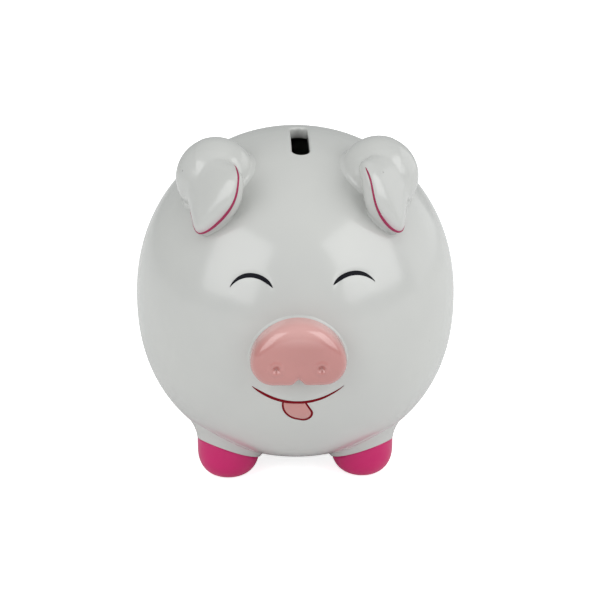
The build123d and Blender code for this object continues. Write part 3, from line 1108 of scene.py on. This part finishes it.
camera_data = bpy.data.cameras.new("camera")
camera = bpy.data.objects.new("camera", camera_data)
scene.collection.objects.link(camera)
scene.camera = camera
camera_turn, camera_rise, camera_distance = radians(-2.0), radians(20.0), 0.560
target = body_centre * 0.001
back = Vector((sin(camera_turn) * cos(camera_rise), -cos(camera_turn) * cos(camera_rise), sin(camera_rise)))
camera.location = target + back * camera_distance
camera.rotation_euler = (-back).to_track_quat("-Z", "Y").to_euler()
camera_data.sensor_width = 36.0
camera_data.lens = 81.36
camera_data.shift_x = 0.008
camera_data.shift_y = -0.012
camera_data.clip_start = 0.01

floor_mesh = bpy.data.meshes.new("floor")
bm = bmesh.new()
bmesh.ops.create_grid(bm, x_segments=1, y_segments=1, size=4)
bm.to_mesh(floor_mesh)
bm.free()
floor = bpy.data.objects.new("floor", floor_mesh)
scene.collection.objects.link(floor)
floor_material = bpy.data.materials.new("pale_floor")
floor_material.use_nodes = True
floor_shader = floor_material.node_tree.nodes["Principled BSDF"]
floor_shader.inputs["Base Color"].default_value = (0.9, 0.9, 0.9, 1)
floor_shader.inputs["Roughness"].default_value = 0.9
floor_shader.inputs["Specular IOR Level"].default_value = 0.0
floor_shader.inputs["Emission Color"].default_value = (1, 1, 1, 1)
floor_rays = node_at(floor_material.node_tree, "ShaderNodeLightPath")
floor_glow = node_at(floor_material.node_tree, "ShaderNodeMath", operation="MULTIPLY")
floor_glow.inputs[1].default_value = 0.8
floor_material.node_tree.links.new(floor_rays.outputs["Is Camera Ray"], floor_glow.inputs[0])
floor_material.node_tree.links.new(floor_glow.outputs["Value"], floor_shader.inputs["Emission Strength"])
floor_mesh.materials.append(floor_material)

world = bpy.data.worlds.new("studio")
scene.world = world
world.use_nodes = True
tree = world.node_tree
tree.nodes.clear()
rays = node_at(tree, "ShaderNodeLightPath")
seen = node_at(tree, "ShaderNodeBackground")
seen.inputs["Color"].default_value = (1, 1, 1, 1)
seen.inputs["Strength"].default_value = 1.05
filling = node_at(tree, "ShaderNodeBackground")
filling.inputs["Color"].default_value = (0.97, 1.0, 0.99, 1)
filling.inputs["Strength"].default_value = 0.42
both = node_at(tree, "ShaderNodeMixShader")
out = node_at(tree, "ShaderNodeOutputWorld")
tree.links.new(rays.outputs["Is Camera Ray"], both.inputs["Fac"])
tree.links.new(filling.outputs["Background"], both.inputs[1])
tree.links.new(seen.outputs["Background"], both.inputs[2])
tree.links.new(both.outputs["Shader"], out.inputs["Surface"])


def softbox(name, azimuth, elevation, distance, width, height, power):
    """A rectangular soft light that faces the pig."""
    data = bpy.data.lights.new(name, "AREA")
    data.shape = "RECTANGLE"
    data.size, data.size_y = width, height
    data.energy = power
    light = bpy.data.objects.new(name, data)
    scene.collection.objects.link(light)
    a, e = radians(azimuth), radians(elevation)
    away = Vector((sin(a) * cos(e), -cos(a) * cos(e), sin(e)))
    light.location = target + away * distance
    light.rotation_euler = (-away).to_track_quat("-Z", "Y").to_euler()
    return light


softbox("window_left", -53, 29, 1.6, 1.25, 1.25, 9.4)
softbox("window_right", 59, 31, 1.6, 1.45, 1.35, 11.4)
softbox("overhead", 0, 85, 1.6, 1.3, 1.3, 5).visible_glossy = False
softbox("side_fill", 118, 5, 2.2, 2.0, 2.0, 7)
